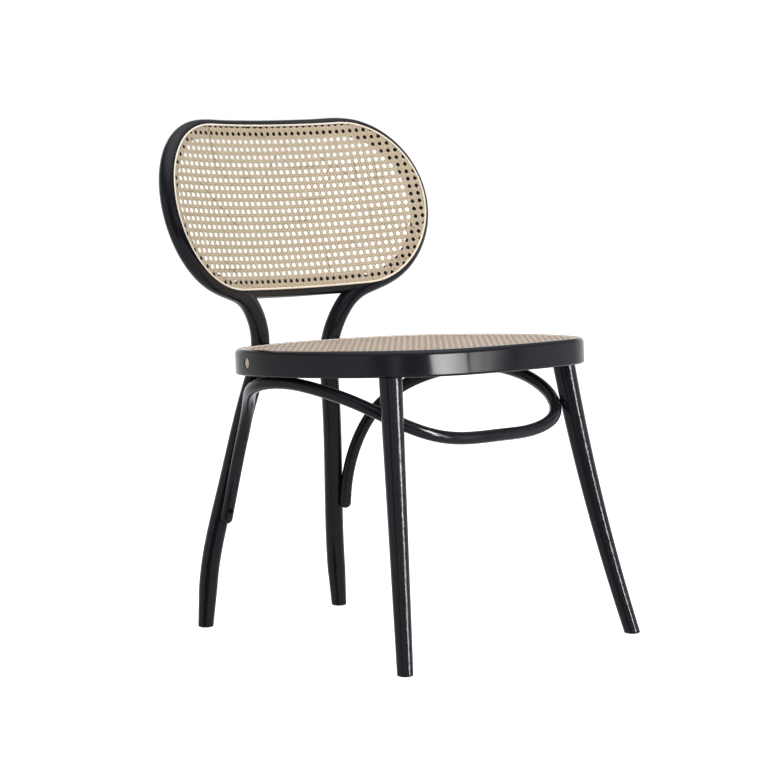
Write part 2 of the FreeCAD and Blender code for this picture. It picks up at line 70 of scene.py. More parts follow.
seatPanel = {
    "height": 0.4615,
    "tilt": 2.4,               # degrees, lower at the rear
    "frontReach": 0.2515,
    "reedInset": 0.0122,
    "sunk": 0.0004,            # of the cane below the top of the ring
    "reedProud": 0.0001,       # of the cane
    # radius, then the outward normal's first and last angle, from front to side to rear
    "arcs": [(0.600, 0, 11), (0.120, 11, 60), (0.380, 60, 110), (0.140, 110, 158)],
}

leanAngle = math.radians(backPanel["lean"])
upBack = np.array([0.0, math.sin(leanAngle), math.cos(leanAngle)])
behindBack = np.array([0.0, math.cos(leanAngle), -math.sin(leanAngle)])
axisPoint = np.array(backPanel["middle"]) + np.array([0, shiftY, 0]) - behindBack * backPanel["radius"]


def onBack(points):
    # points: across along the curve, up the lean, forward of the cane's middle layer.
    points = np.asarray(points, float)
    radius = backPanel["radius"] + backPanel["caneThickness"] / 2 - points[:, 2]
    turn = points[:, 0] / backPanel["radius"]
    across = (radius * np.sin(turn))[:, None] * np.array([1.0, 0, 0])
    depth = (radius * np.cos(turn))[:, None] * behindBack
    return axisPoint + across + depth + points[:, 1:2] * upBack


def onSeat(points):
    # points: x, y, above the cane's middle layer, on the level drawing of the seat.
    points = np.asarray(points, float)
    tilt = math.radians(seatPanel["tilt"])
    level = points[:, 2] - backPanel["caneThickness"] / 2 - seatPanel["sunk"]
    y = points[:, 1] * math.cos(tilt) + level * math.sin(tilt) + shiftY
    z = -points[:, 1] * math.sin(tilt) + level * math.cos(tilt) + seatPanel["height"]
    return np.stack([points[:, 0], y, z], 1)


def backOutline(inset, endSteps=48, flatSteps=12):
    # The outer edge of the back's reed, moved in, as across and up, anticlockwise.
    radius = backPanel["endRadius"] - inset
    points = []

    def add(x, up):
        across = backPanel["radius"] * math.asin(x / backPanel["radius"])
        points.append((across, backPanel["centreRise"] + up))

    for side in (1, -1):
        for i in range(endSteps + 1):
            turn = math.pi * (i / endSteps - 0.5) + (0 if side > 0 else math.pi)
            add(side * backPanel["flatHalf"] + radius * math.cos(turn), radius * math.sin(turn))
        for i in range(1, flatSteps):
            add(side * backPanel["flatHalf"] * (1 - 2 * i / flatSteps), side * radius)
    return np.array(points)


def seatOutline(inset, stepAngle=1.5, fewestSteps=4):
    # The seat's outline, moved in, as x and y, anticlockwise from the front middle.
    arcs = [(radius, math.radians(first), math.radians(last)) for radius, first, last in seatPanel["arcs"]]
    reach = sum(radius * (math.sin(last) - math.sin(first)) for radius, first, last in arcs)
    rearStart = arcs[-1][2]
    arcs.append((reach / math.sin(rearStart), rearStart, math.pi))
    half, x, y = [], 0.0, -seatPanel["frontReach"]
    for radius, first, last in arcs:
        steps = round(math.degrees(last - first) / stepAngle, 6)
        count = max(fewestSteps, int(steps))
        for i in range(count):
            angle = first + (last - first) * i / count
            px = x + radius * (math.sin(angle) - math.sin(first))
            py = y + radius * (math.cos(first) - math.cos(angle))
            half.append((px - inset * math.sin(angle), py + inset * math.cos(angle)))
        x += radius * (math.sin(last) - math.sin(first))
        y += radius * (math.cos(first) - math.cos(last))
    half.append((0.0, y - inset))
    other = [(-px, py) for px, py in reversed(half[1:-1])]
    return np.array(half + other)


def newMaterial(name, **shaderValues):
    material = bpy.data.materials.new(name)
    material.use_nodes = True
    shader = material.node_tree.nodes["Principled BSDF"]
    for socket, value in shaderValues.items():
        shader.inputs[socket.replace("_", " ")].default_value = value
    return material, material.node_tree, shader


def addNoise(tree, scale, detail, stretch=(1, 1, 1), roughness=0.55):
    place = tree.nodes.new("ShaderNodeTexCoord")
    mapping = tree.nodes.new("ShaderNodeMapping")
    mapping.inputs["Scale"].default_value = stretch
    noise = tree.nodes.new("ShaderNodeTexNoise")
    noise.inputs["Scale"].default_value = scale
    noise.inputs["Detail"].default_value = detail
    noise.inputs["Roughness"].default_value = roughness
    tree.links.new(place.outputs["Object"], mapping.inputs["Vector"])
    tree.links.new(mapping.outputs["Vector"], noise.inputs["Vector"])
    return noise


def remap(tree, source, low, high, fromLow=0.0, fromHigh=1.0):
    node = tree.nodes.new("ShaderNodeMapRange")
    node.inputs["From Min"].default_value = fromLow
    node.inputs["From Max"].default_value = fromHigh
    node.inputs["To Min"].default_value = low
    node.inputs["To Max"].default_value = high
    tree.links.new(source, node.inputs["Value"])
    return node.outputs["Result"]


def addBump(tree, shader, source, strength, distance):
    bump = tree.nodes.new("ShaderNodeBump")
    bump.inputs["Strength"].default_value = strength
    bump.inputs["Distance"].default_value = distance
    tree.links.new(source, bump.inputs["Height"])
    tree.links.new(bump.outputs["Normal"], shader.inputs["Normal"])


def mixColours(tree, factor, first, second):
    mix = tree.nodes.new("ShaderNodeMix")
    mix.data_type = "RGBA"
    for socket, value in ((mix.inputs[6], first), (mix.inputs[7], second)):
        if isinstance(value, bpy.types.NodeSocket):
            tree.links.new(value, socket)
        else:
            socket.default_value = (*value, 1)
    tree.links.new(factor, mix.inputs[0])
    return mix.outputs[2]


lacquerLook = {
    "dark": (0.0046, 0.0049, 0.0064),
    "light": (0.0062, 0.0065, 0.0084),
    "cloudScale": 9.0,
    "roughness": (0.13, 0.20),
    "smearScale": 38.0,
    "rippleScale": 420.0,
    "ripple": (0.04, 0.0004),  # strength and height of the bump
}


def makeBlackLacquer():
    material, tree, shader = newMaterial("blackLacquer", Specular_IOR_Level=0.5, IOR=1.5)
    cloud = addNoise(tree, lacquerLook["cloudScale"], 2.0)
    colour = mixColours(tree, cloud.outputs["Fac"], lacquerLook["dark"], lacquerLook["light"])
    tree.links.new(colour, shader.inputs["Base Color"])
    smear = addNoise(tree, lacquerLook["smearScale"], 3.0)
    roughness = remap(tree, smear.outputs["Fac"], *lacquerLook["roughness"], 0.3, 0.7)
    tree.links.new(roughness, shader.inputs["Roughness"])
    ripple = addNoise(tree, lacquerLook["rippleScale"], 1.0)
    addBump(tree, shader, ripple.outputs["Fac"], *lacquerLook["ripple"])
    return material


caneLook = {
    # each is the pale and the deep tone of the strands, then the dark tone of their painted edge shade, grain
    # flecks and stains
    "back": ((0.82, 0.73, 0.555), (0.68, 0.59, 0.43), (0.18, 0.13, 0.085)),
    "seat": ((0.86, 0.79, 0.70), (0.76, 0.68, 0.585), (0.24, 0.18, 0.14)),
    "grainScale": 620.0,
    "grainShade": 0.5,
    "paintedEdgeShade": 0.7,
    "stainMiddle": 0.1,        # of the stain's full depth, in the middle of a strand
    "stainEdge": 0.65,
    "stainDepth": 0.5,         # of the shaded edge's colour
    "roughness": (0.42, 0.62),
    "bump": (0.25, 0.0002),
}


def makeCane(name, pale, deep, dark):
    # strand to strand tone, painted shade along the edges and stains come from attributes, grain from place
    material, tree, shader = newMaterial(name, Specular_IOR_Level=0.35, IOR=1.45)

    def reading(attribute):
        node = tree.nodes.new("ShaderNodeAttribute")
        node.attribute_name = attribute
        return node.outputs["Fac"]

    base = mixColours(tree, reading("strandTone"), pale, deep)
    grain = addNoise(tree, caneLook["grainScale"], 3.0, roughness=0.65)
    flecks = remap(tree, grain.outputs["Fac"], 0.0, caneLook["grainShade"], 0.45, 0.75)
    mottled = mixColours(tree, flecks, base, dark)
    # painted shade: each strand's colour darkens towards its sides, where shade falls between crossing
    # strands
    edge = reading("strandEdge")
    shaded = mixColours(tree, remap(tree, edge, 0.0, caneLook["paintedEdgeShade"], 0.6, 1.0), mottled, dark)
    stain = tree.nodes.new("ShaderNodeMath")
    stain.operation = "MULTIPLY"
    tree.links.new(reading("strandStain"), stain.inputs[0])
    depth = remap(tree, edge, caneLook["stainMiddle"], caneLook["stainEdge"], 0.3, 0.9)
    tree.links.new(depth, stain.inputs[1])
    darkest = tuple(value * caneLook["stainDepth"] for value in dark)
    stained = mixColours(tree, stain.outputs[0], shaded, darkest)
    tree.links.new(stained, shader.inputs["Base Color"])
    tree.links.new(remap(tree, grain.outputs["Fac"], *caneLook["roughness"]), shader.inputs["Roughness"])
    addBump(tree, shader, grain.outputs["Fac"], *caneLook["bump"])
    return material


reedLook = {
    "pale": (0.62, 0.55, 0.47),
    "deep": (0.52, 0.45, 0.37),
    "fibre": (0.36, 0.27, 0.17),
    "fibreScale": 260.0,
    "fibreShade": 0.4,
    "cloudScale": 14.0,
    "roughness": (0.40, 0.60),
    "bump": (0.2, 0.0002),
}


def makeReed():
    material, tree, shader = newMaterial("creamReed", Specular_IOR_Level=0.35, IOR=1.45)
    fibre = addNoise(tree, reedLook["fibreScale"], 4.0, roughness=0.6)
    cloud = addNoise(tree, reedLook["cloudScale"], 2.0)
    base = mixColours(tree, cloud.outputs["Fac"], reedLook["pale"], reedLook["deep"])
    streaks = remap(tree, fibre.outputs["Fac"], 0.0, reedLook["fibreShade"], 0.5, 0.8)
    tree.links.new(mixColours(tree, streaks, base, reedLook["fibre"]), shader.inputs["Base Color"])
    tree.links.new(remap(tree, fibre.outputs["Fac"], *reedLook["roughness"]), shader.inputs["Roughness"])
    addBump(tree, shader, fibre.outputs["Fac"], *reedLook["bump"])
    return material


brassLook = {
    "pale": (0.82, 0.72, 0.50),
    "deep": (0.70, 0.60, 0.39),
    "brushScale": 900.0,
    "brushStretch": (1, 0.08, 1),
    "roughness": (0.26, 0.42),
    "bump": (0.12, 0.0001),
}


def makeBrass():
    material, tree, shader = newMaterial("satinBrass", Metallic=1.0)
    brushed = addNoise(tree, brassLook["brushScale"], 2.0, stretch=brassLook["brushStretch"])
    colour = mixColours(tree, brushed.outputs["Fac"], brassLook["pale"], brassLook["deep"])
    tree.links.new(colour, shader.inputs["Base Color"])
    tree.links.new(remap(tree, brushed.outputs["Fac"], *brassLook["roughness"]), shader.inputs["Roughness"])
    addBump(tree, shader, brushed.outputs["Fac"], *brassLook["bump"])
    return material


steelLook = {
    "platedSteel": ((0.55, 0.55, 0.56), (0.28, 0.43)),  # colour, then roughness where new and where worn
    "blackSteel": ((0.030, 0.030, 0.034), (0.35, 0.50)),
    "glideSteel": ((0.20, 0.20, 0.21), (0.40, 0.55)),
    "wearScale": 160.0,
    "wearShade": 0.6,
}


def makeSteel(name):
    material, tree, shader = newMaterial(name, Metallic=1.0)
    colour, roughness = steelLook[name]
    wear = addNoise(tree, steelLook["wearScale"], 4.0)
    worn = tuple(value * steelLook["wearShade"] for value in colour)
    tree.links.new(mixColours(tree, wear.outputs["Fac"], colour, worn), shader.inputs["Base Color"])
    tree.links.new(remap(tree, wear.outputs["Fac"], *roughness), shader.inputs["Roughness"])
    return material


beechLook = {
    "pale": (0.56, 0.36, 0.20),
    "deep": (0.40, 0.23, 0.12),
    "grainScale": 90.0,
    "grainStretch": (1, 1, 0.08),
    "roughness": (0.5, 0.7),
}


def makeBeech():
    material, tree, shader = newMaterial("bareBeech", Specular_IOR_Level=0.3)
    grain = addNoise(tree, beechLook["grainScale"], 5.0, stretch=beechLook["grainStretch"])
    colour = mixColours(tree, grain.outputs["Fac"], beechLook["pale"], beechLook["deep"])
    tree.links.new(colour, shader.inputs["Base Color"])
    tree.links.new(remap(tree, grain.outputs["Fac"], *beechLook["roughness"]), shader.inputs["Roughness"])
    return material


blackLacquer = makeBlackLacquer()
backCaneFinish = makeCane("backCane", *caneLook["back"])
seatCaneFinish = makeCane("seatCane", *caneLook["seat"])
creamReed = makeReed()
satinBrass = makeBrass()
platedSteel = makeSteel("platedSteel")
blackSteel = makeSteel("blackSteel")
glideSteel = makeSteel("glideSteel")
bareBeech = makeBeech()
print("finishes made")


facetShading = {
    "weldDistance": 1e-6,
    "creaseAngle": 35,         # degrees; sharper edges stay sharp
    "largeFaces": 100,         # weight of the larger faces
}


def dressNode(name, material):
    # A CAD node keeps its mesh and gets a finish, with its facets shaded smooth.
    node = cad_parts[name]
    node.data.materials.clear()
    node.data.materials.append(material)
    node.data.shade_smooth()
    weld = node.modifiers.new("weld", "WELD")
    weld.merge_threshold = facetShading["weldDistance"]
    split = node.modifiers.new("creases", "EDGE_SPLIT")
    split.split_angle = math.radians(facetShading["creaseAngle"])
    shading = node.modifiers.new("shading", "WEIGHTED_NORMAL")
    shading.weight = facetShading["largeFaces"]
    shading.keep_sharp = True


def finishPiece(obj, material, replaced):
    obj.data.materials.clear()
    obj.data.materials.append(material)
    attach(obj, "root")
    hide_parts(replaced)


def closedBead(name, rings):
    # Quads over rings of points that come back to the first ring.
    rings = np.asarray(rings, float)
    count, around = rings.shape[:2]
    mesh = bpy.data.meshes.new(name)
    faces = []
    for i in range(count):
        j = (i + 1) % count
        for k in range(around):
            m = (k + 1) % around
            faces.append((i * around + k, i * around + m, j * around + m, j * around + k))
    mesh.from_pydata(rings.reshape(-1, 3).tolist(), [], faces)
    shell = bmesh.new()
    shell.from_mesh(mesh)
    bmesh.ops.recalc_face_normals(shell, faces=shell.faces)
    shell.to_mesh(mesh)
    shell.free()
    mesh.shade_smooth()
    obj = bpy.data.objects.new(name, mesh)
    scene.collection.objects.link(obj)
    return obj


def reedRings(outline, section, place):
    # A section of (outwards, forward) points carried round a flat outline, then put in place.
    ahead = np.roll(outline, -1, 0) - np.roll(outline, 1, 0)
    ahead /= np.linalg.norm(ahead, axis=1)[:, None]
    outward = np.stack([ahead[:, 1], -ahead[:, 0]], 1)
    rings = []
    for point, side in zip(outline, outward):
        flat = [(*(point + side * out), forward) for out, forward in section]
        rings.append(place(flat))
    return rings


def reedSection(proudOfCane, topPoints=9):
    half, proud = backPanel["reedWidth"] / 2, proudOfCane + backPanel["caneThickness"] / 2
    low, corner = proud - backPanel["reedHeight"], backPanel["reedCorner"]
    turns = np.linspace(0, math.pi, topPoints)
    top = [(half * math.cos(turn), proud - corner + corner * math.sin(turn)) for turn in turns]
    return [(half, low)] + top + [(-half, low)]


weave = {
    "rowPitch": 0.0127,
    "columnPitch": 0.01341,
    "columnPhase": 0.00194,     # a column of holes lies this far right of the middle
    "strandWidth": 0.0028,
    "diagonalWidth": 0.0026,
    "strandThickness": 0.00055,
    "twinGap": 0.0031,          # between the centre lines of a pair
    "backLift": 0.00055,
    "seatLift": 0.00030,
    "trimStep": 0.0008,
    "trimTolerance": 1e-6,
    "uprightSteps": 6,          # to a row
    "diagonalSteps": 7,         # to a hole's diagonal
    "sectionPoints": 7,
    "edgeUnderReed": 0.0003,
    "firstSeed": 3,
    "stainScale": 9.0,
    "stainFrom": 0.65,
    "stainFull": 0.72,
    "stainSpread": 97.0,        # of the noise between one strand and the next
}


def caneStrandTree():
    # One family of parallel strands: laid, trimmed to the outline, waved, given a flat section.
    tree = bpy.data.node_groups.new("caneStrands", "GeometryNodeTree")
    face = tree.interface
    face.new_socket("Geometry", in_out="OUTPUT", socket_type="NodeSocketGeometry")
    face.new_socket("Outline", in_out="INPUT", socket_type="NodeSocketGeometry")
    for name, kind in (
        ("First Strand", "Vector"), ("Strand Step", "Vector"), ("Strand Count", "Int"),
        ("Half Strand", "Vector"), ("Trim Step", "Float"), ("Point Spacing", "Float"),
        ("Wave Turns", "Vector"), ("Wave Start", "Float"), ("Wave Height", "Float"), ("Lift", "Float"),
        ("Width", "Float"), ("Thickness", "Float"), ("Section Points", "Int"), ("Seed", "Int"),
        ("Finish", "Material"),
    ):
        face.new_socket(name, in_out="INPUT", socket_type="NodeSocket" + kind)
    nodes, links = tree.nodes, tree.links
    given = nodes.new("NodeGroupInput").outputs

    def add(kind, inputs=(), **settings):
        node = nodes.new(kind)
        for key, value in settings.items():
            setattr(node, key, value)
        for key, value in dict(inputs).items():
            if isinstance(value, bpy.types.NodeSocket):
                links.new(value, node.inputs[key])
            else:
                node.inputs[key].default_value = value
        return node

    def maths(operation, first, second=0.0):
        return add("ShaderNodeMath", {0: first, 1: second}, operation=operation).outputs[0]

    starts = add("GeometryNodeMeshLine",
                 {"Count": given["Strand Count"], "Start Location": given["First Strand"],
                  "Offset": given["Strand Step"]},
                 mode="OFFSET")
    startPoints = add("GeometryNodeMeshToPoints", {"Mesh": starts.outputs["Mesh"]})
    back = add("ShaderNodeVectorMath", {0: given["Half Strand"], "Scale": -1.0}, operation="SCALE")
    line = add("GeometryNodeCurvePrimitiveLine", {"Start": back.outputs[0], "End": given["Half Strand"]})
    fine = add("GeometryNodeResampleCurve", {"Curve": line.outputs["Curve"], "Length": given["Trim Step"]},
               mode="LENGTH")
    laid = add("GeometryNodeInstanceOnPoints",
               {"Points": startPoints.outputs["Points"], "Instance": fine.outputs["Curve"]})
    index = add("GeometryNodeInputIndex")
    tone = add("FunctionNodeRandomValue", {"Seed": given["Seed"], "ID": index.outputs[0]}, data_type="FLOAT")
    toned = add("GeometryNodeStoreNamedAttribute",
                {"Geometry": laid.outputs["Instances"], "Name": "strandTone", "Value": tone.outputs[1]},
                data_type="FLOAT", domain="INSTANCE")
    real = add("GeometryNodeRealizeInstances", {"Geometry": toned.outputs["Geometry"]})
    near = add("GeometryNodeProximity", {0: given["Outline"]}, target_element="FACES")
    outside = add("FunctionNodeCompare", {0: near.outputs["Distance"], 1: weave["trimTolerance"]},
                  operation="GREATER_THAN", data_type="FLOAT")
    trimmed = add("GeometryNodeDeleteGeometry",
                  {"Geometry": real.outputs["Geometry"], "Selection": outside.outputs[0]}, domain="POINT")
    spaced = add("GeometryNodeResampleCurve", {"Curve": trimmed.outputs[0], "Length": given["Point Spacing"]},
                 mode="LENGTH")
    place = add("GeometryNodeInputPosition")
    turns = add("ShaderNodeVectorMath", {0: place.outputs[0], 1: given["Wave Turns"]},
                operation="DOT_PRODUCT")
    phase = maths("ADD", turns.outputs["Value"], given["Wave Start"])
    wave = maths("MULTIPLY", maths("COSINE", maths("MULTIPLY", phase, 2 * math.pi)), given["Wave Height"])
    rise = add("ShaderNodeCombineXYZ", {"Z": maths("ADD", wave, given["Lift"])})
    waved = add("GeometryNodeSetPosition", {"Geometry": spaced.outputs["Curve"], "Offset": rise.outputs[0]})
    toneRead = add("GeometryNodeInputNamedAttribute", {"Name": "strandTone"}, data_type="FLOAT")
    ownNoise = maths("MULTIPLY", toneRead.outputs[0], weave["stainSpread"])
    stainNoise = add("ShaderNodeTexNoise",
                     {"Vector": place.outputs[0], "W": ownNoise, "Scale": weave["stainScale"], "Detail": 1.0},
                     noise_dimensions="4D")
    stain = add("ShaderNodeMapRange",
                {"Value": stainNoise.outputs[0],
                 "From Min": weave["stainFrom"], "From Max": weave["stainFull"]})
    stained = add("GeometryNodeStoreNamedAttribute",
                  {"Geometry": waved.outputs["Geometry"], "Name": "strandStain",
                   "Value": stain.outputs["Result"]},
                  data_type="FLOAT", domain="POINT")
    upright = add("GeometryNodeSetCurveNormal", {"Curve": stained.outputs["Geometry"]}, mode="Z_UP")
    # the section is flat underneath and domed on top, and strandEdge, which sets the painted edge shade and
    # the stains' depth, is 0 in its middle and 1 at its sides
    dome = add("GeometryNodeCurveArc",
               {"Resolution": given["Section Points"], "Radius": 1.0,
                "Start Angle": 0.0, "Sweep Angle": math.pi},
               mode="RADIUS")
    side = add("ShaderNodeSeparateXYZ", {0: add("GeometryNodeInputPosition").outputs[0]})
    edged = add("GeometryNodeStoreNamedAttribute",
                {"Geometry": dome.outputs["Curve"], "Name": "strandEdge",
                 "Value": maths("ABSOLUTE", side.outputs["X"])},
                data_type="FLOAT", domain="POINT")
    flatness = add("ShaderNodeCombineXYZ",
                   {"X": maths("MULTIPLY", given["Width"], 0.5), "Y": given["Thickness"], "Z": 1.0})
    section = add("GeometryNodeTransform",
                  {"Geometry": edged.outputs["Geometry"], "Scale": flatness.outputs[0]})
    closed = add("GeometryNodeSetSplineCyclic", {"Geometry": section.outputs["Geometry"], "Cyclic": True})
    swept = add("GeometryNodeCurveToMesh",
                {"Curve": upright.outputs["Curve"], "Profile Curve": closed.outputs["Geometry"],
                 "Fill Caps": True})
    whole = add("GeometryNodeRealizeInstances", {"Geometry": swept.outputs["Mesh"]})
    finished = add("GeometryNodeSetMaterial",
                   {"Geometry": whole.outputs["Geometry"], "Material": given["Finish"]})
    out = nodes.new("NodeGroupOutput")
    links.new(finished.outputs["Geometry"], out.inputs["Geometry"])
    return tree


strandTree = caneStrandTree()


def strandFamily(name, outline, finish, seed, values):
    # Runs the strand tree over a flat outline and returns the strands as a plain mesh object.
    mesh = bpy.data.meshes.new(name + "Outline")
    mesh.from_pydata([(x, y, 0) for x, y in outline], [], [tuple(range(len(outline)))])
    holder = bpy.data.objects.new(name + "Outline", mesh)
    scene.collection.objects.link(holder)
    modifier = holder.modifiers.new("strands", "NODES")
    modifier.node_group = strandTree
    items = strandTree.interface.items_tree
    sockets = {item.name: item.identifier for item in items if item.in_out == "INPUT"}
    shared = {"Trim Step": weave["trimStep"], "Thickness": weave["strandThickness"],
              "Section Points": weave["sectionPoints"], "Seed": seed, "Finish": finish}
    for key, value in {**shared, **values}.items():
        modifier[sockets[key]] = value
    bpy.context.view_layer.update()
    graph = bpy.context.evaluated_depsgraph_get()
    evaluated = holder.evaluated_get(graph)
    strands = bpy.data.meshes.new_from_object(evaluated, preserve_all_data_layers=True, depsgraph=graph)
    bpy.data.objects.remove(holder)
    strands.name = name
    obj = bpy.data.objects.new(name, strands)
    scene.collection.objects.link(obj)
    return obj


def moveOnto(obj, place):
    # Carries flat strands onto their panel, without any point that has no face.
    shell = bmesh.new()
    shell.from_mesh(obj.data)
    bmesh.ops.delete(shell, geom=[v for v in shell.verts if not v.link_faces], context="VERTS")
    shell.to_mesh(obj.data)
    shell.free()
    flat = np.zeros(len(obj.data.vertices) * 3)
    obj.data.vertices.foreach_get("co", flat)
    obj.data.vertices.foreach_set("co", place(flat.reshape(-1, 3)).ravel())
    obj.data.shade_flat()
    obj.data.update()


def weavePanel(prefix, outline, place, finish, node, phase, lift):
    # Six families of strands: twin uprights, twin crossers and a diagonal each way.
    column, row = weave["columnPitch"], weave["rowPitch"]
    reachX, reachY = np.abs(outline).max(0)
    columns, rows = int(reachX / column) + 2, int(reachY / row) + 2
    # strands cross at (phase + (i + 1/2) column, (j + 1/2) row), and the holes lie between
    crossX, crossY = phase + column / 2, row / 2
    gap = weave["twinGap"]
    width = weave["strandWidth"]
    families = []
    for twin, side in (("A", 1), ("B", -1)):
        families.append((
            "Upright" + twin,
            {"First Strand": (crossX - columns * column + side * gap / 2, 0, 0),
             "Strand Step": (column, 0, 0), "Strand Count": 2 * columns + 1,
             "Half Strand": (0, rows * row, 0), "Point Spacing": row / weave["uprightSteps"],
             "Wave Turns": (0, 1 / row, 0), "Wave Start": -crossY / row,
             "Wave Height": side * lift / 2, "Lift": side * lift / 2, "Width": width}))
        families.append((
            "Crosser" + twin,
            {"First Strand": (phase, crossY - rows * row + side * gap / 2, 0),
             "Strand Step": (0, row, 0), "Strand Count": 2 * rows + 1,
             "Half Strand": (columns * column, 0, 0), "Point Spacing": column / 2,
             "Wave Turns": (0, 0, 0), "Wave Start": 0.25, "Wave Height": 0.0, "Lift": 0.0, "Width": width}))
    reach = max(columns, rows) * 2
    for lean, side in (("Rising", 1), ("Falling", -1)):
        # diagonals pass half a pitch from the crossings, one way over the rest and the other way under
        families.append((
            lean,
            {"First Strand": (crossX + column / 2 - reach * column, crossY, 0), "Strand Step": (column, 0, 0),
             "Strand Count": 2 * reach + 1, "Half Strand": (rows * column, side * rows * row, 0),
             "Point Spacing": math.hypot(row, column) / weave["diagonalSteps"],
             "Wave Turns": (1 / column, 0, 0), "Wave Start": -crossX / column,
             "Wave Height": side * lift, "Lift": 0.0, "Width": weave["diagonalWidth"]}))
    for seed, (label, values) in enumerate(families, weave["firstSeed"]):
        piece = strandFamily(prefix + label, outline, finish, seed, values)
        moveOnto(piece, place)
        print(prefix + label, len(piece.data.polygons), "faces")
        finishPiece(piece, finish, node)


backEdge = backOutline(weave["edgeUnderReed"])
weavePanel("backCane", backEdge, onBack, backCaneFinish, "back_cane", weave["columnPhase"], weave["backLift"])
seatEdge = seatOutline(seatPanel["reedInset"] + weave["edgeUnderReed"])
weavePanel("seatCane", seatEdge, onSeat, seatCaneFinish, "seat_cane", 0.0, weave["seatLift"])

backReedLine = backOutline(backPanel["reedWidth"] / 2)
backReed = closedBead("backReedBead", reedRings(backReedLine, reedSection(backPanel["reedProud"]), onBack))
finishPiece(backReed, creamReed, "back_reed")
seatReedLine = seatOutline(seatPanel["reedInset"] + backPanel["reedWidth"] / 2)
seatReed = closedBead("seatReedBead", reedRings(seatReedLine, reedSection(seatPanel["reedProud"]), onSeat))
finishPiece(seatReed, creamReed, "seat_reed")
print("cane and reeds made")


for name in ("back_bow", "back_rail", "seat_ring", "under_seat_brace", "front_leg_left", "front_leg_right"):
    dressNode(name, blackLacquer)
smallParts = {"bolt": platedSteel, "screw": blackSteel, "glide": glideSteel,
              "dowel": bareBeech, "tenon_pin": bareBeech}
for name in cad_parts:
    for kind, finish in smallParts.items():
        if kind in name:
            dressNode(name, finish)
dressNode("brass_disc", satinBrass)
print("frame dressed")


photoCamera = {
    "place": (-3.6281, -3.4484, 0.8375),
    "azimuth": -46.004,
    "elevation": 5.008,
    "roll": -0.287,
    "lens": 152.24,
    "sensor": 36.0,
}


def makeCamera():
    data = bpy.data.cameras.new("photoCamera")
    data.lens = photoCamera["lens"]
    data.sensor_width = photoCamera["sensor"]
    data.clip_start, data.clip_end = 0.1, 100
    camera = bpy.data.objects.new("photoCamera", data)
    scene.collection.objects.link(camera)
    azimuth, elevation, roll = (math.radians(photoCamera[k]) for k in ("azimuth", "elevation", "roll"))
    flat = math.cos(elevation)
    back = Vector((math.sin(azimuth) * flat, -math.cos(azimuth) * flat, math.sin(elevation)))
    right = Vector((0, 0, 1)).cross(back).normalized()
    up = back.cross(right)
    tiltedRight = right * math.cos(roll) + up * math.sin(roll)
    tiltedUp = up * math.cos(roll) - right * math.sin(roll)
    turn = Matrix((tiltedRight, tiltedUp, back)).transposed().to_4x4()
    x, y, z = photoCamera["place"]
    camera.matrix_world = Matrix.Translation((x, y + shiftY, z)) @ turn
    scene.camera = camera


def bearing(azimuth, distance, height):
    # A point at an azimuth round the chair; 0 is in front of it and 90 at its right side.
    turn = math.radians(azimuth)
    return Vector((distance * math.sin(turn), -distance * math.cos(turn), height))


softboxes = {
    "overhead": {"azimuth": -20, "distance": 1.2, "height": 3.2, "size": 4.4, "power": 190, "aim": 0.3},
    "frontFill": {"azimuth": -30, "distance": 4.2, "height": 1.6, "size": 1.8, "power": 150, "aim": 0.6},
}


def addSoftbox(name, azimuth, distance, height, size, power, aim):
    # a square soft light that points at a height on the chair's middle line and isn't mirrored in it
    data = bpy.data.lights.new(name, "AREA")
    data.shape = "SQUARE"
    data.size = size
    data.energy = power
    light = bpy.data.objects.new(name, data)
    scene.collection.objects.link(light)
    light.location = bearing(azimuth, distance, height)
    towards = Vector((0, 0, aim)) - light.location
    light.rotation_mode = "QUATERNION"
    light.rotation_quaternion = towards.to_track_quat("-Z", "Y")
    light.visible_glossy = False


glowCards = {
    "distance": 2.6,
    "ringTop": 0.9,
    "legTop": 1.8,
    "ringLit": ["seat_ring"],
    "legsLit": ["front_leg_left", "front_leg_right", "under_seat_brace"],
    # each stop is an azimuth and the brightness there
    "ringCard": [(-38, 5.0), (-34, 11.0), (-23, 13.0), (-14, 11.5), (-5, 9.3), (5, 7.2), (14, 5.6), (24, 4.6),
                 (27, 2.6), (30, 0.8), (35, 0.1), (40, 0.0)],
    "ringStrip": [(-77, 0.7), (-73, 0.7)],
    "legCard": [(6, 18.0), (10, 26.0), (20, 26.0), (25, 18.0)],
    "legStrip": [(-59, 1.4), (-55, 1.4)],
}


def addGlowCard(name, top, lit):
    # an upright curved card on the floor that lights the named nodes only
    stops, distance = glowCards[name], glowCards["distance"]
    corners, faces = [], []
    for azimuth, _ in stops:
        corners += [bearing(azimuth, distance, 0.0), bearing(azimuth, distance, top)]
    for i in range(len(stops) - 1):
        faces.append((2 * i, 2 * i + 2, 2 * i + 3, 2 * i + 1))
    mesh = bpy.data.meshes.new(name)
    mesh.from_pydata(corners, [], faces)
    glow = mesh.color_attributes.new("glow", "FLOAT_COLOR", "POINT")
    for i, (_, bright) in enumerate(stops):
        for index in (2 * i, 2 * i + 1):
            glow.data[index].color = (bright, bright, bright, 1)
    card = bpy.data.objects.new(name, mesh)
    scene.collection.objects.link(card)
    material = bpy.data.materials.new(name)
    material.use_nodes = True
    tree = material.node_tree
    tree.nodes.remove(tree.nodes["Principled BSDF"])
    lamp = tree.nodes.new("ShaderNodeEmission")
    read = tree.nodes.new("ShaderNodeAttribute")
    read.attribute_name = "glow"
    tree.links.new(read.outputs["Fac"], lamp.inputs["Strength"])
    tree.links.new(lamp.outputs[0], tree.nodes["Material Output"].inputs["Surface"])
    mesh.materials.append(material)
    card.visible_camera = False
    card.visible_shadow = False
    receivers = bpy.data.collections.new(name + "Receivers")
    for node in lit:
        receivers.objects.link(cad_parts[node])
    card.light_linking.receiver_collection = receivers


